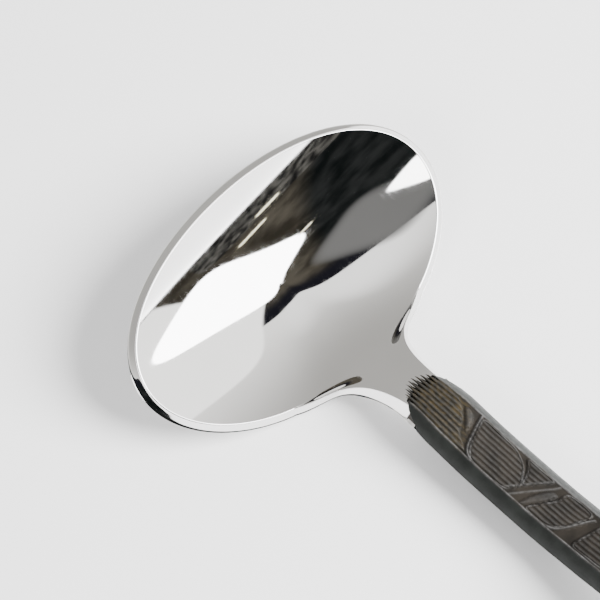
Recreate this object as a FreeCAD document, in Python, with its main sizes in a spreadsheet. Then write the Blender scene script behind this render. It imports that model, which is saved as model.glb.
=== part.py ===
"""A ladle with a wide oval bowl set across its handle, lying on a table.

The bowl and its short neck are one piece of polished steel. A flat tang carries on from the neck into a hollow
handle made of a front and a back shell, and cement fills the space that is left.

Frame: millimetres, +Z up, +X along the handle to its free end, Y across the ladle. The origin is on the table,
under the middle of the ladle's length. The ladle is the same on both sides of the XZ plane.
"""
import FreeCAD, Part

import math
import os

CELLS = [
    # the bowl's inside lip, measured in the tilted plane of the rim
    ("bowl_half_width", 38.0),
    ("bowl_front_reach", 20.5),
    ("bowl_neck_reach", 23.7),
    ("neck_dip", 2.0),
    ("bowl_inner_depth", 9.5),
    ("bowl_fullness", 1.9),
    ("floor_thick", 2.0),
    ("rim_band", 1.4),
    ("rim_tilt", 22.2),
    # the handle, measured from the middle of the bowl's rim
    ("handle_start", 35.0),
    ("handle_end", 163.0),
    ("front_height", 3.1),
    ("back_depth", 1.8),
    ("top_inset", 2.4),
    ("shell_wall", 0.8),
    # the tang
    ("tang_start", 34.9),
    ("tang_length", 36.0),
    ("tang_width", 6.0),
    ("tang_thick", 1.2),
    ("tang_height", 9.5),
    ("tang_slope", 3.8),
]

OUTLINE_POINTS = 40
BOWL_LEVELS = [1.0, 0.93, 0.85, 0.75, 0.63, 0.5, 0.36, 0.22, 0.1]
NECK_SECTIONS = 20
HANDLE_SECTIONS = 16

# the split line between the two shells, seen from the side: distance from the bowl, height off the table
SPLIT_LINE = [(32.0, 8.65), (39.0, 8.65), (48.0, 7.5), (60.0, 6.75), (71.0, 6.8), (80.0, 8.1), (92.0, 11.2),
              (105.0, 13.1), (117.0, 12.1), (130.0, 8.5), (143.0, 4.6), (154.0, 2.2), (162.0, 1.85), (166.0, 1.8)]
# half the handle's width at its base: distance from the bowl, half width
HALF_WIDTHS = [(30.0, 6.3), (40.0, 6.6), (76.0, 6.6), (105.0, 7.5), (135.0, 9.5), (166.0, 10.7)]
# the neck's upper face, seen from the side: distance from the bowl, height over the middle of the rim
NECK_LINE = [(15.5, -9.0), (18.6, -7.6), (22.5, -5.8), (26.5, -3.65), (30.5, -1.7), (34.8, -0.5)]
# the neck's section: distance from the bowl, half width on top, further out at the flank, thickness
NECK_SECTION = [(15.5, 9.5, 0.8, 1.7), (17.0, 13.0, 0.8, 1.9), (18.6, 15.6, 0.8, 2.2), (20.2, 12.3, 0.9, 2.6),
                (21.1, 10.2, 1.0, 2.8), (22.3, 8.3, 1.1, 3.1), (24.1, 6.9, 1.2, 3.5), (26.2, 5.9, 1.3, 3.9),
                (28.9, 5.3, 1.5, 4.3), (31.7, 4.9, 1.7, 4.6), (34.8, 4.2, 2.2, 4.9)]


def make_sheet(doc):
    """Put the driving dimensions in a spreadsheet, one named cell each."""
    sheet = doc.addObject("Spreadsheet::Sheet", "Sizes")
    for row, (alias, value) in enumerate(CELLS, start=1):
        sheet.set(f"A{row}", alias)
        sheet.set(f"B{row}", str(value))
        sheet.setAlias(f"B{row}", alias)
    doc.recompute()
    return sheet


def add_shape(doc, name, shape):
    """Add a form made with Part's own functions."""
    feature = doc.addObject("Part::Feature", name)
    feature.Shape = shape
    return feature


def add_cut(doc, name, base, tool):
    """Add one form with another taken away."""
    cut = doc.addObject("Part::Cut", name)
    cut.Base = base
    cut.Tool = tool
    return cut


def add_common(doc, name, base, tool):
    """Add what two forms share."""
    common = doc.addObject("Part::Common", name)
    common.Base = base
    common.Tool = tool
    return common


def between(table, position):
    """Read a value at a position, on straight lines between a table's entries."""
    for (low, first), (high, second) in zip(table, table[1:]):
        if position <= high:
            return first + (second - first) * (position - low) / (high - low)
    return table[-1][1]


# ---------------------------------------------------------------- the bowl

def bowl_point(sheet, around, level, outside):
    """Give a point on the bowl in the rim's own frame. Level is 1 at the lip and 0 at the deepest place."""
    band = sheet.rim_band if outside else 0.0
    middle = (sheet.bowl_front_reach + sheet.bowl_neck_reach) / 2
    bulge = (sheet.bowl_neck_reach - sheet.bowl_front_reach) / 2
    from_neck = math.remainder(around, 2 * math.pi)
    dip = sheet.neck_dip * math.exp(-(from_neck / 0.3) ** 2)
    reach = middle + bulge * math.cos(around) - dip + band
    hollow = 1 - level ** sheet.bowl_fullness
    depth = sheet.bowl_inner_depth * hollow
    if outside:
        depth = band + (sheet.bowl_inner_depth + sheet.floor_thick - band) * hollow
    along = reach * math.cos(around) * level - bulge
    across = (sheet.bowl_half_width + band) * math.sin(around) * level
    return FreeCAD.Vector(along, across, -depth)


def oval_wire(sheet, level, outside):
    """Make the oval outline of the bowl at one level."""
    turns = [2 * math.pi * step / OUTLINE_POINTS for step in range(OUTLINE_POINTS)]
    points = [bowl_point(sheet, around, level, outside) for around in turns]
    curve = Part.BSplineCurve()
    curve.interpolate(Points=points, PeriodicFlag=True)
    return Part.Wire(curve.toShape())


def bowl_form(sheet, outside):
    """Make a solid that fills the bowl's inside or outside surface up to its edge."""
    return Part.makeLoft([oval_wire(sheet, level, outside) for level in BOWL_LEVELS], True)


def rim_form(sheet):
    """Make the slanting band between the bowl's outside edge and its lip."""
    lip = oval_wire(sheet, 1.0, False)
    lip.scale(1.004)
    return Part.makeLoft([oval_wire(sheet, 1.0, True), lip], True, True)


def lid_form(sheet):
    """Make the clear space just above the lip. It starts a little below it, so that no two faces share a plane."""
    space = Part.Face(oval_wire(sheet, 1.0, False)).extrude(FreeCAD.Vector(0, 0, 1.05))
    space.translate(FreeCAD.Vector(0, 0, -0.05))
    return space


def rim_turn(sheet):
    """Give the turn that takes the rim's own frame to the table's."""
    return FreeCAD.Rotation(FreeCAD.Vector(0, 1, 0), sheet.rim_tilt)


def bowl_limits(sheet):
    """Give how far the outside of the bowl reaches forward, and below the middle of the rim."""
    turn = rim_turn(sheet)
    points = []
    for step in range(OUTLINE_POINTS):
        around = 2 * math.pi * step / OUTLINE_POINTS
        points += [turn.multVec(bowl_point(sheet, around, level / 200, True)) for level in range(201)]
    return min(point.x for point in points), min(point.z for point in points)


def neck_wire(sheet, point):
    """Make one upright six-sided section of the neck, hung below its upper face."""
    top = between([row[:2] for row in NECK_SECTION], point.x)
    flank = between([(row[0], row[2]) for row in NECK_SECTION], point.x)
    thick = between([(row[0], row[3]) for row in NECK_SECTION], point.x)
    split = thick * sheet.front_height / (sheet.front_height + sheet.back_depth)
    outline = [(-top, 0.0), (top, 0.0), (top + flank, split), (top + flank - (thick - split), thick),
               (thick - split - top - flank, thick), (-top - flank, split)]
    corners = [point + FreeCAD.Vector(0, across, -down) for across, down in outline]
    return Part.makePolygon(corners + corners[:1])


def neck_form(sheet):
    """Make the neck: it grows out of the bowl's wall, narrows, and swells to the handle's section."""
    curve = Part.BSplineCurve()
    curve.interpolate(Points=[FreeCAD.Vector(x, 0, z) for x, z in NECK_LINE])
    wires = []
    for step in range(NECK_SECTIONS):
        parameter = curve.parameterAtDistance(curve.length() * step / (NECK_SECTIONS - 1))
        wires.append(neck_wire(sheet, curve.value(parameter)))
    return Part.makeLoft(wires, True, True)


def make_bowl(doc, sheet, place):
    """Make the bowl and its neck as one piece of steel."""
    tilted = FreeCAD.Placement(place, rim_turn(sheet))
    forms = {}
    for name, shape in (("BowlOutside", bowl_form(sheet, True)), ("RimBand", rim_form(sheet)),
                        ("BowlInside", bowl_form(sheet, False)), ("SpaceOverLip", lid_form(sheet))):
        forms[name] = add_shape(doc, name, shape)
        forms[name].Placement = tilted
    neck = add_shape(doc, "Neck", neck_form(sheet))
    neck.Placement = FreeCAD.Placement(place, FreeCAD.Rotation())
    body = doc.addObject("Part::MultiFuse", "BowlWithNeck")
    body.Shapes = [forms["BowlOutside"], forms["RimBand"], neck]
    hollowed = add_cut(doc, "BowlHollowed", body, forms["BowlInside"])
    bowl = add_cut(doc, "Bowl", hollowed, forms["SpaceOverLip"])
    bowl.Label = "bowl"
    return bowl


# ---------------------------------------------------------------- the handle

def split_stations():
    """Give evenly spaced points and directions along the split line."""
    curve = Part.BSplineCurve()
    curve.interpolate(Points=[FreeCAD.Vector(x, 0, z) for x, z in SPLIT_LINE])
    stations = []
    for step in range(HANDLE_SECTIONS):
        parameter = curve.parameterAtDistance(curve.length() * step / (HANDLE_SECTIONS - 1))
        stations.append((curve.value(parameter), curve.tangent(parameter)[0]))
    return stations


def handle_form(profile):
    """Sweep a section along the split line. profile gives the section's corners for a half width."""
    wires = []
    for point, direction in split_stations():
        normal = FreeCAD.Vector(-direction.z, 0, direction.x)
        corners = []
        for across, up in profile(between(HALF_WIDTHS, point.x)):
            corners.append(point + FreeCAD.Vector(0, across, 0) + normal * up)
        wires.append(Part.makePolygon(corners + corners[:1]))
    return Part.makeLoft(wires, True)


def plan_form(sheet, inset):
    """Make the upright prism whose outline squares the handle's front and rounds its free end."""
    start = sheet.handle_start + inset
    end = sheet.handle_end - inset
    wide = 14.0
    round_half, round_length = 9.2, 6.5
    back = Part.Arc(FreeCAD.Vector(end - round_length, -round_half, 0), FreeCAD.Vector(end, 0, 0),
                    FreeCAD.Vector(end - round_length, round_half, 0)).toShape()
    corners = [(end - round_length, round_half), (end - 12, wide), (start, wide), (start, -wide),
               (end - 12, -wide), (end - round_length, -round_half)]
    sides = Part.makePolygon([FreeCAD.Vector(x, y, 0) for x, y in corners])
    outline = Part.Wire([back] + sides.Edges)
    return Part.Face(outline).extrude(FreeCAD.Vector(0, 0, 40))


def make_handle_forms(doc, sheet, place):
    """Make the handle's solid front and back and the hollow inside it, all cut to its outline."""
    height = sheet.front_height
    depth = sheet.back_depth
    inset = sheet.top_inset
    wall = sheet.shell_wall

    def front_profile(half):
        return [(-half, 0), (half, 0), (half - inset, height), (inset - half, height)]

    def back_profile(half):
        return [(-half, 0), (half, 0), (half - depth, -depth), (depth - half, -depth)]

    def hollow_profile(half):
        base = half - wall
        top = base - inset * (height - wall) / height
        floor = base - (depth - wall)
        return [(-base, 0), (-floor, wall - depth), (floor, wall - depth), (base, 0),
                (top, height - wall), (-top, height - wall)]

    outside = add_shape(doc, "HandleOutline", plan_form(sheet, 0.0))
    inside = add_shape(doc, "HollowOutline", plan_form(sheet, wall))
    forms = []
    for name, profile, outline in (("FrontForm", front_profile, outside), ("BackForm", back_profile, outside),
                                   ("HollowForm", hollow_profile, inside)):
        blank = add_shape(doc, name + "Blank", handle_form(profile))
        blank.Placement.Base = place
        forms.append(add_common(doc, name, blank, outline))
    outside.Placement.Base = place
    inside.Placement.Base = place
    return forms


def make_tang(doc, sheet, place):
    """Make the flat tang that carries on from the end of the neck."""
    tang = doc.addObject("Part::Box", "Tang")
    tang.setExpression("Length", "Sizes.tang_length")
    tang.setExpression("Width", "Sizes.tang_width")
    tang.setExpression("Height", "Sizes.tang_thick")
    corner = FreeCAD.Vector(sheet.tang_start, -sheet.tang_width / 2, sheet.tang_height - sheet.tang_thick / 2)
    slope = FreeCAD.Rotation(FreeCAD.Vector(0, 1, 0), sheet.tang_slope)
    tang.Placement = FreeCAD.Placement(place + corner, slope)
    tang.Label = "tang"
    return tang


def make_handle(doc, sheet, place, tang):
    """Make the two shells, open where the tang goes in, and the cement that fills them."""
    front_form, back_form, hollow = make_handle_forms(doc, sheet, place)
    pieces = []
    for label, form in (("handle_front_shell", front_form), ("handle_back_shell", back_form)):
        name = label.title().replace("_", "")
        hollowed = add_cut(doc, name + "Hollowed", form, hollow)
        shell = add_cut(doc, name, hollowed, tang)
        shell.Label = label
        pieces.append(shell)
    filler = add_cut(doc, "HandleFiller", hollow, tang)
    filler.Label = "handle_filler"
    return pieces + [filler]


# ---------------------------------------------------------------- checks and files

def check(doc, pieces):
    """Stop if any object failed to build or any piece is not a sound solid."""
    for item in doc.Objects:
        if "Invalid" in item.State or "Error" in item.State:
            raise RuntimeError(f"{item.Name} failed: {item.State}")
    for piece in pieces:
        if piece.Shape.isNull() or not piece.Shape.isValid() or not piece.Shape.Solids:
            raise RuntimeError(f"{piece.Label} is not a valid solid")
        if len(piece.Shape.Shells) != 1:
            raise RuntimeError(f"{piece.Label} has a stray shell or a closed-off hollow")


def main():
    """Build the document and write one file for each piece."""
    doc = FreeCAD.newDocument("Ladle")
    sheet = make_sheet(doc)
    front, low = bowl_limits(sheet)
    middle = (sheet.handle_end + front) / 2
    handle_place = FreeCAD.Vector(-middle, 0, 0)
    bowl = make_bowl(doc, sheet, FreeCAD.Vector(-middle, 0, -low))
    tang = make_tang(doc, sheet, handle_place)
    pieces = [bowl, tang] + make_handle(doc, sheet, handle_place, tang)
    doc.recompute()
    check(doc, pieces)
    os.makedirs("parts", exist_ok=True)
    for piece in pieces:
        piece.Shape.exportStep(f"parts/{piece.Label}.step")
        box = piece.Shape.optimalBoundingBox()
        print(f"{piece.Label}: {len(piece.Shape.Solids)} solid, {piece.Shape.Volume:.1f} mm3,",
              f"x {box.XMin:.2f} to {box.XMax:.2f}, z {box.ZMin:.2f} to {box.ZMax:.2f}")
    print(f"middle of the rim is {-low:.2f} above the table and at x {-middle:.2f}")


main()
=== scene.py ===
"""The ladle's looks: a mirror-polished cross bowl and a blackened handle with a leaf and reed relief.

Lengths in the making of each piece are in millimetres, in the frame of the CAD model, and are turned into
metres when the mesh is made. The bowl is described in the tilted frame of its rim, the handle along its split
line.
"""

import math

import bmesh
import bpy
import numpy as np
from mathutils import Matrix, Vector


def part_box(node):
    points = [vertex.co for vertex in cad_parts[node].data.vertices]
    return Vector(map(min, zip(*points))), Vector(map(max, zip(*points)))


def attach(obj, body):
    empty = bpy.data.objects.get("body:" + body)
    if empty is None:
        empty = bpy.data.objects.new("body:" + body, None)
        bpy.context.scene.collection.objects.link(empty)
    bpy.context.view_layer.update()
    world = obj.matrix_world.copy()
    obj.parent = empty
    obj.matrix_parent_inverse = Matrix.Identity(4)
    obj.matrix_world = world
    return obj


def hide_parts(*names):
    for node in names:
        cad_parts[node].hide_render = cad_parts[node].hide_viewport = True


MM = 0.001
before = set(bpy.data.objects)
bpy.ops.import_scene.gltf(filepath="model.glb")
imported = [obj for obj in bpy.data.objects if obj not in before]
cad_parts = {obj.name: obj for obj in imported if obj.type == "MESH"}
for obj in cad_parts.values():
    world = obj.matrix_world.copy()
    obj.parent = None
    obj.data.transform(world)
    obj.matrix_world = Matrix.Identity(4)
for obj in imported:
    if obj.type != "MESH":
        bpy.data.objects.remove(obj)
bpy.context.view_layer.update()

# ---------------------------------------------------------------- driving sizes, the same as the CAD model's

BOWL_HALF_WIDTH = 38.0
BOWL_FRONT_REACH = 20.5
BOWL_NECK_REACH = 23.7
NECK_DIP = 2.0
BOWL_DEPTH = 9.5
BOWL_FULLNESS = 1.9
FLOOR_THICK = 2.0
RIM_BAND = 1.4
RIM_TILT = math.radians(22.2)
HANDLE_END = 163.0
FRONT_HEIGHT = 3.1
BACK_DEPTH = 1.8
TOP_INSET = 2.3
SPLIT_LINE = [(29.0, 5.85), (32.0, 7.65), (35.5, 8.55), (39.0, 8.65), (48.0, 7.5), (60.0, 6.75),
              (71.0, 6.8), (80.0, 8.1), (92.0, 11.2), (105.0, 13.1), (117.0, 12.1), (130.0, 8.5),
              (143.0, 4.6), (154.0, 2.2), (162.0, 1.85), (166.0, 1.8)]
HALF_WIDTHS = [(30.0, 5.8), (36.0, 6.15), (42.0, 6.6), (76.0, 6.6), (105.0, 7.5), (135.0, 9.5), (166.0, 10.7)]

# the middle of the rim: the handle's end closes the CAD box, and the bowl's underside rests at zero
handle_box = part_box("handle_front_shell")
RIM_MIDDLE = np.array([handle_box[1][0] / MM - HANDLE_END, 0.0, 11.95])


# ---------------------------------------------------------------- small helpers

def smooth(low, high, value):
    """Go from 0 to 1 without corners as value goes from low to high."""
    share = np.clip((value - low) / (high - low), 0.0, 1.0)
    return share * share * (3.0 - 2.0 * share)


def natural_spline(points, steps):
    """Give evenly spaced points on a natural cubic spline through the given ones."""
    points = np.asarray(points, float)
    knots = np.concatenate([[0.0], np.cumsum(np.linalg.norm(np.diff(points, axis=0), axis=1))])
    gaps = np.diff(knots)
    count = len(points)
    system = np.eye(count)
    right = np.zeros_like(points)
    for i in range(1, count - 1):
        system[i, i - 1:i + 2] = gaps[i - 1], 2 * (gaps[i - 1] + gaps[i]), gaps[i]
        right[i] = 6 * ((points[i + 1] - points[i]) / gaps[i] - (points[i] - points[i - 1]) / gaps[i - 1])
    bend = np.linalg.solve(system, right)
    fine = np.linspace(0.0, knots[-1], steps * 8)
    span = np.clip(np.searchsorted(knots, fine, side="right") - 1, 0, count - 2)
    width = gaps[span][:, None]
    after = (fine - knots[span])[:, None]
    before = width - after
    line = (bend[span] * before ** 3 + bend[span + 1] * after ** 3) / (6 * width)
    line += (points[span] / width - bend[span] * width / 6) * before
    line += (points[span + 1] / width - bend[span + 1] * width / 6) * after
    travelled = np.concatenate([[0.0], np.cumsum(np.linalg.norm(np.diff(line, axis=0), axis=1))])
    even = np.linspace(0.0, travelled[-1], steps)
    return np.stack([np.interp(even, travelled, line[:, axis]) for axis in range(line.shape[1])], axis=1)


def mesh_object(name, points, faces, body="root"):
    """Make a smooth-shaded mesh object from points in millimetres."""
    mesh = bpy.data.meshes.new(name)
    mesh.from_pydata((np.asarray(points) * MM).tolist(), [], faces)
    mesh.update()
    mesh.shade_smooth()
    piece = bpy.data.objects.new(name, mesh)
    bpy.context.collection.objects.link(piece)
    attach(piece, body)
    return piece


def grid_faces(rows, columns, first=0, wrap=False):
    """Give the quads of a grid of points stored row by row."""
    faces = []
    last = columns if wrap else columns - 1
    for row in range(rows - 1):
        for column in range(last):
            beside = (column + 1) % columns
            low = first + row * columns
            high = low + columns
            faces.append((low + column, low + beside, high + beside, high + column))
    return faces


# ---------------------------------------------------------------- the bowl and its neck

# where the neck's edge leaves the lip, measured across the bowl
FLARE_HALF = 18.0
# the neck's upper face, seen from the side: distance from the bowl, height over the middle of the rim
NECK_GUIDE = [(18.6, -7.6), (22.6, -6.3), (29.6, -0.9), (38.5, -0.5)]
# the neck's section: distance from the rim's middle, half width on top, how much further out the flank
# stands, depth of the flank, thickness
NECK_SECTION = [(17.6, 18.0, 0.66, 1.5, 2.0), (18.6, 15.9, 0.75, 1.5, 2.1), (20.3, 11.8, 0.9, 1.7, 2.5),
                (21.6, 9.3, 1.0, 1.8, 2.8), (23.2, 7.6, 1.1, 2.0, 3.1), (25.0, 6.4, 1.25, 2.2, 3.5),
                (27.5, 5.4, 1.4, 2.5, 4.0), (31.0, 4.6, 1.5, 2.8, 4.5), (34.6, 4.2, 1.7, 3.0, 4.7),
                (36.5, 4.1, 2.0, 2.7, 3.9), (39.0, 4.0, 2.25, 2.65, 3.6)]
NECK_ROWS = 70
BAND_ROWS = 14


def rim_to_table(points):
    """Turn points from the rim's own frame to the table's, and set them in place."""
    along, across, up = points[..., 0], points[..., 1], points[..., 2]
    turned_along = along * math.cos(RIM_TILT) + up * math.sin(RIM_TILT)
    turned_up = up * math.cos(RIM_TILT) - along * math.sin(RIM_TILT)
    return np.stack([turned_along, across, turned_up], axis=-1) + RIM_MIDDLE


def bowl_surface(around, level, outside):
    """Give points on the bowl's inside or outside. Level is 1 at the lip and 0 at the deepest place."""
    band = RIM_BAND if outside else 0.0
    depth = (BOWL_DEPTH + FLOOR_THICK - RIM_BAND) if outside else BOWL_DEPTH
    middle = (BOWL_FRONT_REACH + BOWL_NECK_REACH) / 2
    bulge = (BOWL_NECK_REACH - BOWL_FRONT_REACH) / 2
    from_neck = np.mod(around + math.pi, 2 * math.pi) - math.pi
    reach = middle + bulge * np.cos(around) - NECK_DIP * np.exp(-(from_neck / 0.3) ** 2) + band
    along = reach * np.cos(around) * level - bulge
    across = (BOWL_HALF_WIDTH + band) * np.sin(around) * level
    down = band + depth * (1.0 - level ** BOWL_FULLNESS)
    return rim_to_table(np.stack(np.broadcast_arrays(along, across, -down), axis=-1))


def neck_line(share):
    """Give points on the neck's upper face, from the bowl's lip (share 0) into the handle (share 1)."""
    guide = np.array(NECK_GUIDE)
    share = np.asarray(share)[..., None]
    rest = 1.0 - share
    return (guide[0] * rest ** 3 + 3 * guide[1] * rest ** 2 * share + 3 * guide[2] * rest * share ** 2
            + guide[3] * share ** 3)


def neck_sizes(x):
    """Give the neck's section at a distance from the bowl: half width, flank, depth of flank, thickness."""
    table = np.array(NECK_SECTION)
    line = natural_spline(table, 400)
    return [np.interp(x, line[:, 0], line[:, column]) for column in range(1, 5)]


def neck_grids(lip, outer):
    """Give the neck's upper and under side as grids of points that start from the bowl's two edges."""
    middle = len(lip) // 2
    start = neck_line(0.0)
    side = neck_line(np.linspace(0.0, 1.0, 300))
    side = np.vstack([side[0] - 4.0 * (side[1] - side[0]) / np.linalg.norm(side[1] - side[0]), side])

    def face_height(x):
        """Give the height of the neck's upper face, which the dark tongue covers from its sides on."""
        return np.interp(x, side[:, 0], side[:, 1]) - 0.4 * smooth(35.0, 36.5, x) + RIM_MIDDLE[2]

    lip_x = lip[:, 0] - RIM_MIDDLE[0]
    over_face = lip[:, 2] - face_height(lip_x)
    share_out = lip[:, 1] / lip[-1][1]
    arch = np.sqrt(np.maximum(1.0 - np.abs(share_out) ** 2.6, 0.0))
    top, under = [], []
    for share in np.linspace(0.0, 1.0, NECK_ROWS) ** 1.4:
        line = neck_line(share)
        gone = line[0] - start[0]
        x = line[0] + (lip_x - lip_x[middle]) * (1.0 - smooth(0.0, 7.5, gone))
        half, flank, flank_depth, thick = neck_sizes(x[-1])
        height = face_height(x) + over_face * np.exp(-gone / (3.6 - 2.3 * share_out ** 4))
        top.append(np.stack([x + RIM_MIDDLE[0], share_out * half, height], axis=-1))
        settle = smooth(0.0, 5.0, gone)
        from_lip = outer - lip
        low = height - flank_depth - (thick - flank_depth) * arch
        base_x = x + RIM_MIDDLE[0] + from_lip[:, 0] * (1.0 - settle)
        base_z = height + from_lip[:, 2] * (1.0 - settle) + (low - height) * settle
        under.append(np.stack([base_x, share_out * (half + flank), base_z], axis=-1))
    return np.array(top), np.array(under)


def band_rows(first, last, outward):
    """Give rows of points across a narrow band between two lines, crowned and rounded at both edges."""
    rows = []
    for share in (1.0 - np.cos(np.linspace(0.0, math.pi, BAND_ROWS + 2)[1:-1])) / 2:
        crown = 0.11 * (1.0 - abs(2.0 * share - 1.0) ** 5)
        rows.append(first + (last - first) * share + outward * crown)
    return rows


def strip_faces(low, high):
    """Give the faces between two closed lines of points."""
    count = len(low)
    return [(low[i], low[(i + 1) % count], high[(i + 1) % count], high[i]) for i in range(count)]


def build_bowl():
    """Build the bowl and neck as one closed skin: inside, rim band with the neck's sides, and outside."""
    flare = math.asin(FLARE_HALF / BOWL_HALF_WIDTH)
    half_columns = 30
    neck_angles = np.linspace(-flare, flare, 2 * half_columns + 1)
    around = np.concatenate([neck_angles, np.linspace(flare, 2 * math.pi - flare, 260)[1:-1]])
    columns = len(around)
    wide = len(neck_angles)
    levels = np.linspace(1.0, 0.0, 72)[:-1] ** 0.8
    points, faces = [], []

    def add_grid(grid):
        first = len(points)
        points.extend(grid.reshape(-1, 3))
        return first

    sides = []
    for outside in (False, True):
        grid = bowl_surface(around[None, :], levels[:, None], outside)
        first = add_grid(grid)
        pole = len(points)
        points.append(bowl_surface(np.array(0.0), np.array(0.0), outside))
        quads = grid_faces(len(levels), columns, first, wrap=True)
        ring = first + (len(levels) - 1) * columns
        quads += [(ring + column, ring + (column + 1) % columns, pole) for column in range(columns)]
        sides.append((first, grid[0], quads))
    (lip_first, lip, inside_quads), (outer_first, outer, outside_quads) = sides
    top, under = neck_grids(lip[:wide], outer[:wide])
    loops, neck_quads = [], []
    for first_ring, grid in ((lip_first, top), (outer_first, under)):
        start = add_grid(grid[1:])
        rows = [list(range(first_ring, first_ring + wide))]
        rows += [list(range(start + row * wide, start + (row + 1) * wide)) for row in range(len(grid) - 1)]
        neck_quads.append([(low[column], low[column + 1], high[column + 1], high[column])
                           for low, high in zip(rows, rows[1:]) for column in range(wide - 1)])
        loop = [first_ring + column for column in range(wide - 1, columns)] + [first_ring]
        loop += [row[0] for row in rows[1:]] + rows[-1][1:-1] + [row[-1] for row in reversed(rows[1:])]
        loops.append(loop)
    faces += inside_quads + [quad[::-1] for quad in neck_quads[0]]
    faces += [quad[::-1] for quad in outside_quads] + neck_quads[1]

    made = np.array(points)
    first_line, last_line = made[loops[0]], made[loops[1]]
    ahead = np.roll(first_line, -1, axis=0) - np.roll(first_line, 1, axis=0)
    outward = np.cross(last_line - first_line, ahead)
    outward /= np.linalg.norm(outward, axis=1)[:, None]
    previous = loops[0]
    count = len(previous)
    for row in band_rows(first_line, last_line, -outward):
        start = add_grid(row)
        current = list(range(start, start + count))
        faces += strip_faces(previous, current)
        previous = current
    faces += strip_faces(previous, loops[1])
    bowl = mesh_object("bowl_and_neck", points, faces)
    face_outward(bowl)
    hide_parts("bowl")
    return bowl


def face_outward(piece):
    """Turn every face of a closed skin to the outside."""
    work = bmesh.new()
    work.from_mesh(piece.data)
    bmesh.ops.recalc_face_normals(work, faces=work.faces)
    work.to_mesh(piece.data)
    work.free()
    piece.data.shade_smooth()


# ---------------------------------------------------------------- the handle's relief

def distance_to(points, s, y, closed=False):
    """Give each place's distance to a line of points."""
    points = np.asarray(points, float)
    ends = np.roll(points, -1, axis=0) if closed else points[1:]
    starts = points if closed else points[:-1]
    nearest = np.full(s.shape, 1e9)
    for (ax, ay), (bx, by) in zip(starts, ends):
        dx, dy = bx - ax, by - ay
        share = np.clip(((s - ax) * dx + (y - ay) * dy) / (dx * dx + dy * dy), 0.0, 1.0)
        nearest = np.minimum(nearest, np.hypot(s - ax - share * dx, y - ay - share * dy))
    return nearest


def inside_of(points, s, y):
    """Say which places lie inside a closed outline."""
    found = np.zeros(s.shape, bool)
    points = np.asarray(points, float)
    for (ax, ay), (bx, by) in zip(points, np.roll(points, -1, axis=0)):
        crosses = (ay > y) != (by > y)
        if ay != by:
            found ^= crosses & (s < (bx - ax) * (y - ay) / (by - ay) + ax)
    return found


def curved(points, closed=False, fine=5):
    """Round a line of points off with a Catmull-Rom curve."""
    points = np.asarray(points, float)
    count = len(points)
    made = []
    for i in range(count if closed else count - 1):
        if closed:
            a, b, c, d = (points[(i + k) % count] for k in (-1, 0, 1, 2))
        else:
            a, b, c, d = points[max(i - 1, 0)], points[i], points[i + 1], points[min(i + 2, count - 1)]
        for step in range(fine):
            t = step / fine
            made.append(0.5 * (2 * b + (c - a) * t + (2 * a - 5 * b + 4 * c - d) * t * t
                               + (3 * b - a - 3 * c + d) * t ** 3))
    if not closed:
        made.append(points[-1])
    return np.array(made)


# the relief's leaves, in millimetres along the handle from its front and across it from its middle line
FIRST_REEDS = [(-4.5, 4.2), (4.0, 4.2), (6.2, 3.7), (8.7, 1.5), (10.4, -1.5), (13.2, -4.3), (-4.5, -4.3)]
TEARDROP = [(8.1, 3.7), (9.7, 3.5), (10.9, 2.1), (11.3, 0.4), (11.1, -0.9), (10.0, 0.1), (8.8, 1.5),
            (7.7, 2.8)]
BRIGHT_VEIN = [(11.4, 4.3), (11.8, 2.3), (12.5, 0.0), (13.1, -1.9), (14.1, -3.5), (15.9, -4.5)]
LONG_PANEL = [(12.3, 3.9), (16.0, 4.0), (20.3, 3.9), (22.6, 3.1), (24.2, 2.1), (25.2, 0.8), (25.9, -0.4),
              (26.2, -1.6), (24.8, -3.8), (22.0, -4.3), (16.4, -4.3), (14.8, -3.4), (13.7, -1.8), (13.1, 0.1),
              (12.4, 2.3)]
CORNER_PANEL = [(24.2, 3.9), (27.0, 4.0), (30.4, 3.9), (29.2, 2.2), (26.7, -0.7), (25.9, 1.2), (25.0, 2.8)]
DARK_VEIN = [(31.6, 4.3), (30.9, 3.2), (29.4, 1.4), (27.1, -1.4), (24.6, -4.5)]
SMALL_LEAF = [(28.1, -4.4), (28.9, -1.9), (30.1, 0.4), (31.6, 2.3), (33.3, 2.2), (32.5, -0.2), (31.0, -2.3),
              (29.4, -4.2)]
NEXT_PANEL = [(33.8, 1.3), (34.3, 3.4), (36.0, 4.0), (39.7, 3.9), (40.9, 3.2), (39.9, 0.8), (38.7, -1.3),
              (37.3, -2.9), (35.0, -4.2), (31.0, -4.3), (30.2, -3.7), (31.9, -1.3)]
SECOND_VEIN = [(42.0, 3.0), (41.2, 2.0), (39.9, 0.0), (38.5, -2.1), (37.0, -3.6), (34.4, -4.6)]
MOTIF_LENGTH = 30.0
REED_PITCH = 1.02
RELIEF_HALF = 4.5


def shifted(points, by, flip):
    """Move a shape along the handle, and turn it over its middle line if flip is set."""
    return [(s + by, -y if flip else y) for s, y in points]


def relief_shapes():
    """Lay the leaves out along the whole handle, as ribbed panels, plain leaves, ridges and grooves."""
    panels, leaves, ridges, grooves = [FIRST_REEDS], [TEARDROP], [BRIGHT_VEIN], []
    for turn in range(5):
        by = MOTIF_LENGTH * turn
        flip = turn % 2 == 1
        panels += [shifted(shape, by, flip) for shape in (LONG_PANEL, CORNER_PANEL, NEXT_PANEL)]
        leaves.append(shifted(SMALL_LEAF, by, flip))
        ridges.append(shifted(SECOND_VEIN, by, flip))
        grooves.append(shifted(DARK_VEIN, by, flip))
    return panels, leaves, ridges, grooves


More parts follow.
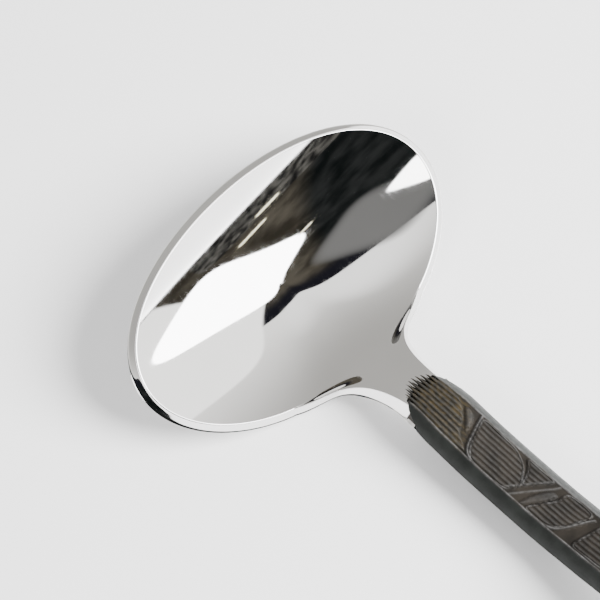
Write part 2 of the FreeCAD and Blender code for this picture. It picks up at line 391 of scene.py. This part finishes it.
def relief(s, y):
    """Give the relief's height in millimetres and how worn it is, at places on the handle."""
    height = np.full(s.shape, -0.10)
    worn = np.zeros(s.shape)
    panels, leaves, ridges, grooves = relief_shapes()
    sway = 0.03 * np.sin(s * 0.55) + 0.02 * np.sin(s * 1.7 + 1.0)
    reeds = np.abs(np.sin(math.pi * (y + sway) / REED_PITCH))
    for shape in panels:
        outline = curved(shape, closed=True)
        near = (s > outline[:, 0].min() - 1) & (s < outline[:, 0].max() + 1)
        if not near.any():
            continue
        deep = distance_to(outline, s[near], y[near], closed=True)
        within = inside_of(outline, s[near], y[near])
        rise = smooth(0.0, 0.45, deep) * within
        height[near] = np.maximum(height[near], -0.10 + rise * (0.14 + 0.18 * reeds[near] ** 0.8))
        worn[near] = np.maximum(worn[near], rise * 0.16 * smooth(0.6, 1.0, reeds[near]))
        if shape is not FIRST_REEDS:
            border = np.exp(-(deep / 0.2) ** 2)
            height[near] = np.maximum(height[near], -0.10 + 0.36 * border)
            rubbed = 0.30 + 0.22 * np.sin(0.8 * s[near] + 1.3 * y[near])
            worn[near] = np.maximum(worn[near], rubbed * border)
    for shape in leaves:
        outline = curved(shape, closed=True)
        near = (s > outline[:, 0].min() - 1) & (s < outline[:, 0].max() + 1)
        if not near.any():
            continue
        deep = distance_to(outline, s[near], y[near], closed=True)
        within = inside_of(outline, s[near], y[near])
        rise = smooth(0.0, 0.7, deep) * within
        height[near] = np.where(within, -0.12 + 0.42 * rise, height[near])
        worn[near] = np.where(within, 0.12 * rise, worn[near])
    for shape in grooves:
        deep = distance_to(curved(shape), s, y)
        height -= 0.34 * np.exp(-(deep / 0.34) ** 2)
        worn *= 1.0 - np.exp(-(deep / 0.4) ** 2)
        lip = np.exp(-((deep - 0.75) / 0.2) ** 2)
        height += 0.10 * lip
        worn = np.maximum(worn, 0.35 * lip)
    for shape in ridges:
        deep = distance_to(curved(shape), s, y)
        height = np.maximum(height, -0.1 + 0.5 * np.exp(-(deep / 0.26) ** 2))
        worn = np.maximum(worn, 0.6 * np.exp(-(deep / 0.2) ** 2))
    return height, worn


# ---------------------------------------------------------------- the handle's shells

HANDLE_ROWS = 760
HANDLE_ORIGIN = 34.8
# where the dark front starts: its middle reeds, the top of its flanks and their lower edge
TONGUE_TIP = 32.1
TONGUE_SIDE = 34.0
FLANK_START = 39.0
TOOTH_DEPTH = 2.9
UNDERSIDE_START = 35.2
FLANK_BOW = 0.22
CROWN = 0.2


def half_width_at(x):
    """Give half the handle's width at its base, rounded off at the free end."""
    table = np.array(HALF_WIDTHS)
    half = np.interp(x, table[:, 0], table[:, 1])
    round_start = HANDLE_END - 8.0
    past = np.clip((x - round_start) / (HANDLE_END - round_start), 0.0, 1.0)
    return half * np.sqrt(np.maximum(1.0 - past ** 2.4, 0.0))


class Sweep:
    """Stations along the split line, one line of them for each column, from its own start to the free end."""

    def __init__(self, starts):
        line = natural_spline(SPLIT_LINE, 4000)
        line = line[(line[:, 0] >= TONGUE_TIP - 0.5) & (line[:, 0] <= HANDLE_END)]
        travelled = np.concatenate([[0.0], np.cumsum(np.linalg.norm(np.diff(line, axis=0), axis=1))])
        direction = np.gradient(line, travelled, axis=0)
        direction /= np.linalg.norm(direction, axis=1)[:, None]
        first = np.interp(starts, line[:, 0], travelled)
        share = np.linspace(0.0, 1.0, HANDLE_ROWS)
        near_end = 0.94 + 0.06 * np.sin((share - 0.94) / 0.06 * math.pi / 2)
        share = np.where(share > 0.94, near_end, share)
        along = first[None, :] + (travelled[-1] - first)[None, :] * share[:, None]
        self.x = np.interp(along, travelled, line[:, 0])
        self.z = np.interp(along, travelled, line[:, 1])
        self.normal_x = -np.interp(along, travelled, direction[:, 1])
        self.normal_z = np.interp(along, travelled, direction[:, 0])
        self.from_start = along - first[None, :]
        self.to_end = travelled[-1] - along
        self.place = along - np.interp(HANDLE_ORIGIN, line[:, 0], travelled)

    def lift(self, across, up):
        """Give the points that stand a distance off the split line."""
        x = self.x + self.normal_x * up + RIM_MIDDLE[0]
        return np.stack([x, across, self.z + self.normal_z * up], axis=-1)


def front_starts(flank, top):
    """Give where each column of the front shell starts: reed tips on a shallow arc, and rounded flanks."""
    y = top * RELIEF_HALF
    tooth = np.abs(((y / REED_PITCH) % 1.0) - 0.5) * 2.0
    tips = TONGUE_TIP + (TONGUE_SIDE - TONGUE_TIP) * np.abs(top) ** 2.2
    over_top = tips + TOOTH_DEPTH * tooth ** 0.9 * (1.0 - 0.6 * np.abs(top) ** 5)
    over_flank = over_top[0] + (FLANK_START - over_top[0]) * (1.0 - flank) ** 1.6
    return np.concatenate([over_flank, over_top, over_flank[::-1]])


def build_front_shell():
    """Build the front shell with its relief as real geometry."""
    flank = np.linspace(0.0, 1.0, 15)[:-1]
    top = np.linspace(-1.0, 1.0, 161)
    sweep = Sweep(front_starts(flank, top))
    rise = np.concatenate([flank, np.ones(len(top)), flank[::-1]])
    side = np.concatenate([-np.ones(len(flank)), top, np.ones(len(flank))])
    on_top = np.concatenate([np.zeros(len(flank), bool), np.ones(len(top), bool), np.zeros(len(flank), bool)])
    half = half_width_at(sweep.x)
    top_half = np.maximum(half - TOP_INSET, half * 0.55)
    bow = FLANK_BOW * np.sin(math.pi * rise)
    across = side * np.where(on_top, top_half, half + (top_half - half) * rise + bow)
    up = FRONT_HEIGHT * rise + CROWN * (1.0 - side ** 2) * on_top

    s = sweep.place
    y = np.broadcast_to(side * RELIEF_HALF, s.shape)
    height = np.zeros_like(across)
    worn = np.zeros_like(across)
    relief_height, relief_worn = relief(s[:, on_top], y[:, on_top])
    edge = smooth(0.0, 0.5, RELIEF_HALF - np.abs(y[:, on_top]))
    end_fade = smooth(0.0, 1.5, sweep.to_end[:, on_top])
    height[:, on_top] = relief_height * edge * end_fade
    worn[:, on_top] = relief_worn * edge
    ridge = np.exp(-((np.abs(y) - RELIEF_HALF + 0.1) / 0.16) ** 2) * on_top
    height += 0.10 * ridge * (0.8 + 0.2 * np.sin(s * 1.3))
    worn = np.maximum(worn, ridge * (0.55 + 0.25 * np.sin(s * 0.9 + 2.0) * np.sin(s * 0.37)))

    # the front edge dips into the steel, and the free end rounds over
    sunk = 1.0 - smooth(0.0, 0.7, sweep.from_start)
    up = up + height - 0.45 * sunk * rise
    across = across - 0.35 * sunk * side * ~on_top
    up = up * (0.4 + 0.6 * smooth(0.0, 0.8, sweep.to_end))
    made = sweep.lift(across, up)
    rows, count = across.shape
    shell = mesh_object("handle_front", made.reshape(-1, 3), grid_faces(rows, count))
    paint(shell, "worn", worn.reshape(-1))
    paint(shell, "flank", np.broadcast_to(~on_top, s.shape).reshape(-1))
    paint(shell, "first_reeds", (1.0 - smooth(9.0, 13.0, s + 0.6 * y)).reshape(-1))
    close_ends(shell, rows, count)
    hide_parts("handle_front_shell")
    return shell


def build_back_shell():
    """Build the smooth back shell, a shallow rounded trough."""
    turn = np.linspace(0.0, math.pi, 49)
    edge = np.abs(np.cos(turn))
    sweep = Sweep(UNDERSIDE_START + (FLANK_START - UNDERSIDE_START) * edge ** 2)
    half = half_width_at(sweep.x)
    across = -half * np.sign(np.cos(turn)) * edge ** 0.55
    up = -BACK_DEPTH * np.abs(np.sin(turn)) ** 0.8 * np.ones_like(across)
    up *= (0.45 + 0.55 * smooth(0.0, 1.2, sweep.from_start)) * (0.45 + 0.55 * smooth(0.0, 1.2, sweep.to_end))
    made = sweep.lift(across, up)
    rows, count = across.shape
    faces = [face[::-1] for face in grid_faces(rows, count)]
    shell = mesh_object("handle_back", made.reshape(-1, 3), faces)
    close_ends(shell, rows, count)
    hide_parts("handle_back_shell")
    return shell


def paint(piece, name, values):
    """Store one number for each vertex."""
    store = piece.data.attributes.new(name, "FLOAT", "POINT")
    store.data.foreach_set("value", np.asarray(values, np.float32))


def close_ends(piece, rows, columns):
    """Close the first and last row of a grid with a flat face each."""
    work = bmesh.new()
    work.from_mesh(piece.data)
    work.verts.ensure_lookup_table()
    work.faces.new([work.verts[i] for i in range(columns)][::-1])
    work.faces.new([work.verts[(rows - 1) * columns + i] for i in range(columns)])
    bmesh.ops.recalc_face_normals(work, faces=work.faces)
    work.to_mesh(piece.data)
    work.free()
    piece.data.shade_smooth()


# ---------------------------------------------------------------- materials

class Nodes:
    """A material's node tree, with short calls to add and join nodes."""

    def __init__(self, name):
        self.material = bpy.data.materials.new(name)
        self.material.use_nodes = True
        self.tree = self.material.node_tree
        self.shader = self.tree.nodes["Principled BSDF"]
        self.place = self.add("ShaderNodeTexCoord").outputs["Object"]

    def add(self, kind, **settings):
        node = self.tree.nodes.new(kind)
        for key, value in settings.items():
            setattr(node, key, value)
        return node

    def join(self, output, target):
        self.tree.links.new(output, target)

    def noise(self, scale, detail=4.0, rough=0.55, stretch=None):
        node = self.add("ShaderNodeTexNoise")
        node.inputs["Scale"].default_value = scale
        node.inputs["Detail"].default_value = detail
        node.inputs["Roughness"].default_value = rough
        if stretch:
            mapping = self.add("ShaderNodeMapping")
            mapping.inputs["Scale"].default_value = stretch
            self.join(self.place, mapping.inputs["Vector"])
            self.join(mapping.outputs["Vector"], node.inputs["Vector"])
        else:
            self.join(self.place, node.inputs["Vector"])
        return node.outputs["Fac"]

    def attribute(self, name):
        return self.add("ShaderNodeAttribute", attribute_name=name).outputs["Fac"]

    def range(self, value, low, high, from_low=0.3, from_high=0.7):
        node = self.add("ShaderNodeMapRange")
        node.inputs["From Min"].default_value = from_low
        node.inputs["From Max"].default_value = from_high
        node.inputs["To Min"].default_value = low
        node.inputs["To Max"].default_value = high
        self.join(value, node.inputs["Value"])
        return node.outputs["Result"]

    def mix(self, share, first, second):
        node = self.add("ShaderNodeMix", data_type="RGBA")
        self.join(share, node.inputs["Factor"])
        for value, target in ((first, node.inputs[6]), (second, node.inputs[7])):
            if isinstance(value, tuple):
                target.default_value = value
            else:
                self.join(value, target)
        return node.outputs[2]

    def math(self, operation, first, second):
        node = self.add("ShaderNodeMath", operation=operation)
        for value, target in zip((first, second), node.inputs):
            if isinstance(value, (int, float)):
                target.default_value = value
            else:
                self.join(value, target)
        return node.outputs[0]

    def bump(self, value, distance, strength=1.0):
        node = self.add("ShaderNodeBump")
        node.inputs["Strength"].default_value = strength
        node.inputs["Distance"].default_value = distance
        self.join(value, node.inputs["Height"])
        self.join(node.outputs["Normal"], self.shader.inputs["Normal"])


def grey(value, warm=0.0):
    """Give a grey, a little warmer or cooler."""
    return (value * (1 + warm), value, value * (1 - warm), 1.0)


def polished_steel():
    """Mirror-polished steel with the faintest haze and hairlines from wiping."""
    nodes = Nodes("polished_steel")
    nodes.shader.inputs["Metallic"].default_value = 1.0
    haze = nodes.noise(45.0, 3.0)
    nodes.join(nodes.mix(nodes.range(haze, 0.0, 1.0), grey(0.90, 0.01), grey(0.84, 0.012)),
               nodes.shader.inputs["Base Color"])
    wiped = nodes.noise(900.0, 2.0, stretch=(0.12, 1.0, 0.4))
    nodes.join(nodes.range(wiped, 0.025, 0.065), nodes.shader.inputs["Roughness"])
    nodes.bump(nodes.noise(60.0, 2.0), 0.00001, 0.25)
    return nodes.material


def blackened_relief():
    """Blackened metal: brown-black relief, grey-green flanks, and grey where high edges are worn."""
    nodes = Nodes("blackened_relief")
    nodes.shader.inputs["Specular IOR Level"].default_value = 0.16
    patches = nodes.range(nodes.noise(260.0, 4.0), 0.0, 1.0, 0.38, 0.62)
    body = nodes.mix(patches, (0.0075, 0.0066, 0.0055, 1.0), (0.0145, 0.0122, 0.0098, 1.0))
    flecks = nodes.range(nodes.noise(1400.0, 3.0, stretch=(0.45, 1.0, 1.0)), 0.0, 1.0, 0.45, 0.75)
    gold = nodes.mix(flecks, (0.008, 0.007, 0.005, 1.0), (0.030, 0.022, 0.010, 1.0))
    body = nodes.mix(nodes.attribute("first_reeds"), body, gold)
    green = nodes.mix(patches, (0.0085, 0.0095, 0.0085, 1.0), (0.0135, 0.0150, 0.0135, 1.0))
    body = nodes.mix(nodes.attribute("flank"), body, green)
    scuffed = nodes.range(nodes.noise(1500.0, 4.0), 0.4, 1.1)
    share = nodes.math("MULTIPLY", nodes.attribute("worn"), scuffed)
    nodes.join(nodes.mix(share, body, grey(0.11, 0.01)), nodes.shader.inputs["Base Color"])
    nodes.join(nodes.range(nodes.noise(1200.0, 3.0), 0.36, 0.52), nodes.shader.inputs["Roughness"])
    nodes.bump(nodes.noise(2600.0, 3.0), 0.00003, 0.35)
    return nodes.material


def blackened_smooth():
    """The smooth back's blackened metal, dark grey-green with faint clouds."""
    nodes = Nodes("blackened_smooth")
    nodes.shader.inputs["Specular IOR Level"].default_value = 0.16
    patches = nodes.range(nodes.noise(200.0, 4.0), 0.0, 1.0, 0.38, 0.62)
    nodes.join(nodes.mix(patches, (0.0085, 0.0095, 0.0085, 1.0), (0.0150, 0.0165, 0.0145, 1.0)),
               nodes.shader.inputs["Base Color"])
    nodes.join(nodes.range(nodes.noise(1200.0, 3.0), 0.3, 0.46), nodes.shader.inputs["Roughness"])
    nodes.bump(nodes.noise(2600.0, 3.0), 0.00003, 0.3)
    return nodes.material


def plain_material(name, colour, metallic, rough):
    """A quiet material for the pieces that the shells hide."""
    nodes = Nodes(name)
    nodes.shader.inputs["Metallic"].default_value = metallic
    grain = nodes.noise(700.0, 4.0)
    darker = tuple(0.75 * channel for channel in colour[:3]) + (1.0,)
    nodes.join(nodes.mix(nodes.range(grain, 0.0, 1.0), colour, darker), nodes.shader.inputs["Base Color"])
    nodes.join(nodes.range(grain, rough, rough + 0.15), nodes.shader.inputs["Roughness"])
    nodes.bump(grain, 0.00005, 0.3)
    return nodes.material


def dress(piece, material):
    """Give a piece its one material."""
    piece.data.materials.clear()
    piece.data.materials.append(material)


# ---------------------------------------------------------------- the studio

def build_floor():
    """Lay a pale floor much wider than the ladle."""
    nodes = Nodes("pale_floor")
    cloud = nodes.noise(2.0, 3.0)
    pale = nodes.mix(nodes.range(cloud, 0.0, 1.0), grey(0.74), grey(0.76))
    nodes.join(pale, nodes.shader.inputs["Base Color"])
    nodes.shader.inputs["Roughness"].default_value = 0.9
    nodes.shader.inputs["Specular IOR Level"].default_value = 0.1
    mesh = bpy.data.meshes.new("floor")
    wide = 3.0
    corners = [(-wide, -wide, 0), (wide, -wide, 0), (wide, wide, 0), (-wide, wide, 0)]
    mesh.from_pydata(corners, [], [(0, 1, 2, 3)])
    floor = bpy.data.objects.new("floor", mesh)
    bpy.context.collection.objects.link(floor)
    floor.data.materials.append(nodes.material)


def toward(azimuth, elevation):
    """Give the unit direction at an azimuth and elevation in degrees."""
    azimuth, elevation = math.radians(azimuth), math.radians(elevation)
    return Vector((math.cos(azimuth) * math.cos(elevation), math.sin(azimuth) * math.cos(elevation),
                   math.sin(elevation)))


def add_area(name, azimuth, elevation, distance, size, power):
    """Hang a soft round lamp that aims at the ladle and leaves no reflection of its own."""
    lamp = bpy.data.lights.new(name, "AREA")
    lamp.shape = "DISK"
    lamp.size = size
    lamp.energy = power
    holder = bpy.data.objects.new(name, lamp)
    direction = toward(azimuth, elevation)
    holder.location = direction * distance
    holder.rotation_euler = direction.to_track_quat("Z", "Y").to_euler()
    holder.visible_glossy = False
    bpy.context.collection.objects.link(holder)


class RoomNodes:
    """The world's node tree: a pale room for soft light, and a studio for the polished bowl to mirror."""

    def __init__(self):
        world = bpy.data.worlds.new("studio")
        bpy.context.scene.world = world
        world.use_nodes = True
        self.tree = world.node_tree
        self.background = self.tree.nodes["Background"]
        self.way = self.add("ShaderNodeTexCoord").outputs["Generated"]
        parts = self.add("ShaderNodeSeparateXYZ")
        self.tree.links.new(self.way, parts.inputs[0])
        self.x, self.y, self.z = parts.outputs

    def add(self, kind, **settings):
        node = self.tree.nodes.new(kind)
        for key, value in settings.items():
            setattr(node, key, value)
        return node

    def put(self, value, target):
        if isinstance(value, (int, float, tuple)):
            target.default_value = value
        else:
            self.tree.links.new(value, target)

    def math(self, operation, first, second=0.0):
        node = self.add("ShaderNodeMath", operation=operation)
        self.put(first, node.inputs[0])
        self.put(second, node.inputs[1])
        return node.outputs[0]

    def step(self, value, low, high):
        node = self.add("ShaderNodeMapRange", interpolation_type="SMOOTHSTEP")
        self.put(value, node.inputs["Value"])
        node.inputs["From Min"].default_value = low
        node.inputs["From Max"].default_value = high
        return node.outputs["Result"]

    def noise(self, scale, detail):
        node = self.add("ShaderNodeTexNoise")
        self.tree.links.new(self.way, node.inputs["Vector"])
        node.inputs["Scale"].default_value = scale
        node.inputs["Detail"].default_value = detail
        return self.step(node.outputs["Fac"], 0.35, 0.7)

    def dot(self, direction):
        node = self.add("ShaderNodeVectorMath", operation="DOT_PRODUCT")
        self.tree.links.new(self.way, node.inputs[0])
        node.inputs[1].default_value = direction
        return node.outputs["Value"]

    def mix(self, share, first, second):
        node = self.add("ShaderNodeMix", data_type="RGBA")
        self.put(share, node.inputs["Factor"])
        self.put(first, node.inputs[6])
        self.put(second, node.inputs[7])
        return node.outputs[2]


def light_shape(room, azimuth, elevation, half_wide, half_high, soft=0.12, turn=0.0):
    """Give 1 inside a rounded rectangle of sky seen from the ladle, sizes in degrees."""
    centre = toward(azimuth, elevation)
    level = Vector((-math.sin(math.radians(azimuth)), math.cos(math.radians(azimuth)), 0.0))
    upright = centre.cross(level)
    side = level * math.cos(math.radians(turn)) + upright * math.sin(math.radians(turn))
    top = centre.cross(side)
    across = room.math("DIVIDE", room.math("ABSOLUTE", room.dot(side)), math.sin(math.radians(half_wide)))
    up = room.math("DIVIDE", room.math("ABSOLUTE", room.dot(top)), math.sin(math.radians(half_high)))
    both = room.math("ADD", room.math("POWER", across, 5.0), room.math("POWER", up, 5.0))
    inside = room.math("SUBTRACT", 1.0, room.step(both, 1.0 - soft, 1.0 + soft))
    facing = room.step(room.dot(centre), 0.0, 0.05)
    return room.math("MULTIPLY", inside, facing)


def build_world():
    """Light the scene with a soft even room. Mirrors see a bright wall, a dim room and soft lights."""
    room = RoomNodes()
    bright = room.mix(room.step(room.x, -0.75, 0.1), (0.58, 0.57, 0.545, 1.0), (1.75, 1.74, 1.70, 1.0))
    bright = room.mix(room.step(room.z, 0.86, 0.99), bright, (1.9, 1.9, 1.88, 1.0))
    mottle = room.noise(7.0, 5.0)
    olive = room.mix(mottle, (0.040, 0.035, 0.027, 1.0), (0.120, 0.108, 0.086, 1.0))
    black = room.mix(mottle, (0.006, 0.008, 0.008, 1.0), (0.030, 0.032, 0.032, 1.0))
    dark = room.mix(room.step(room.y, -0.05, 0.10), black, olive)
    into_dark = room.dot(toward(-15.0, 0.0))
    dark = room.mix(room.step(into_dark, 0.16, 0.02), dark, (0.014, 0.014, 0.020, 1.0))
    seen = room.mix(room.step(into_dark, -0.055, -0.07), dark, bright)
    haze = light_shape(room, -56.0, 74.0, 17.0, 13.0, 0.9)
    seen = room.mix(haze, seen, (0.24, 0.24, 0.235, 1.0))
    seen = room.mix(light_shape(room, 66.0, 26.0, 27.0, 33.0, 0.1), seen, (2.4, 2.4, 2.35, 1.0))
    clutter = room.mix(room.noise(24.0, 6.0), (0.012, 0.012, 0.012, 1.0), (0.17, 0.165, 0.15, 1.0))
    seen = room.mix(light_shape(room, 10.0, 3.0, 20.0, 7.0, 0.1), seen, clutter)
    seen = room.mix(light_shape(room, 38.0, 37.0, 18.0, 25.0, 0.08, 17.0), seen, (12.0, 12.0, 12.2, 1.0))
    seen = room.mix(light_shape(room, -66.0, 60.0, 9.0, 6.0, 0.3), seen, (9.0, 9.0, 9.0, 1.0))
    for azimuth, elevation, half_wide in ((11.0, 8.0, 3.0), (16.5, 14.0, 4.0), (3.0, 46.0, 2.5)):
        line = light_shape(room, azimuth, elevation, half_wide, 0.6, 0.3)
        seen = room.mix(line, seen, (3.5, 3.3, 2.4, 1.0))
    path = room.add("ShaderNodeLightPath")
    picked = room.mix(path.outputs["Is Glossy Ray"], (0.95, 0.95, 0.955, 1.0), seen)
    room.put(picked, room.background.inputs["Color"])
    room.background.inputs["Strength"].default_value = 1.0


def build_camera():
    """Stand the camera where the ladle is seen from above, half along and half across its handle."""
    camera = bpy.data.cameras.new("camera")
    camera.lens = 120.0
    camera.clip_start = 0.01
    holder = bpy.data.objects.new("camera", camera)
    azimuth, elevation = math.radians(43.8), math.radians(65.0)
    right = Vector((math.cos(azimuth), math.sin(azimuth), 0.0))
    ahead = Vector((-math.sin(azimuth) * math.cos(elevation), math.cos(azimuth) * math.cos(elevation),
                    -math.sin(elevation)))
    up = right.cross(ahead)
    aim = Vector(RIM_MIDDLE.tolist()) * MM + Vector((3.5, -2.2, -1.9)) * MM
    turn = Matrix((right, up, -ahead)).transposed().to_4x4()
    holder.matrix_world = Matrix.Translation(aim - ahead * 0.4) @ turn
    bpy.context.collection.objects.link(holder)
    bpy.context.scene.camera = holder


def main():
    """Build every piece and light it."""
    bowl = build_bowl()
    front = build_front_shell()
    back = build_back_shell()
    dress(bowl, polished_steel())
    dress(front, blackened_relief())
    dress(back, blackened_smooth())
    dress(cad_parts["tang"], plain_material("plain_steel", grey(0.55), 1.0, 0.35))
    dress(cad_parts["handle_filler"], plain_material("dark_cement", (0.035, 0.030, 0.026, 1.0), 0.0, 0.55))
    build_floor()
    build_world()
    add_area("key", 40.0, 42.0, 0.9, 0.62, 46.0)
    add_area("fill", -90.0, 40.0, 1.0, 0.5, 7.0)
    build_camera()


main()
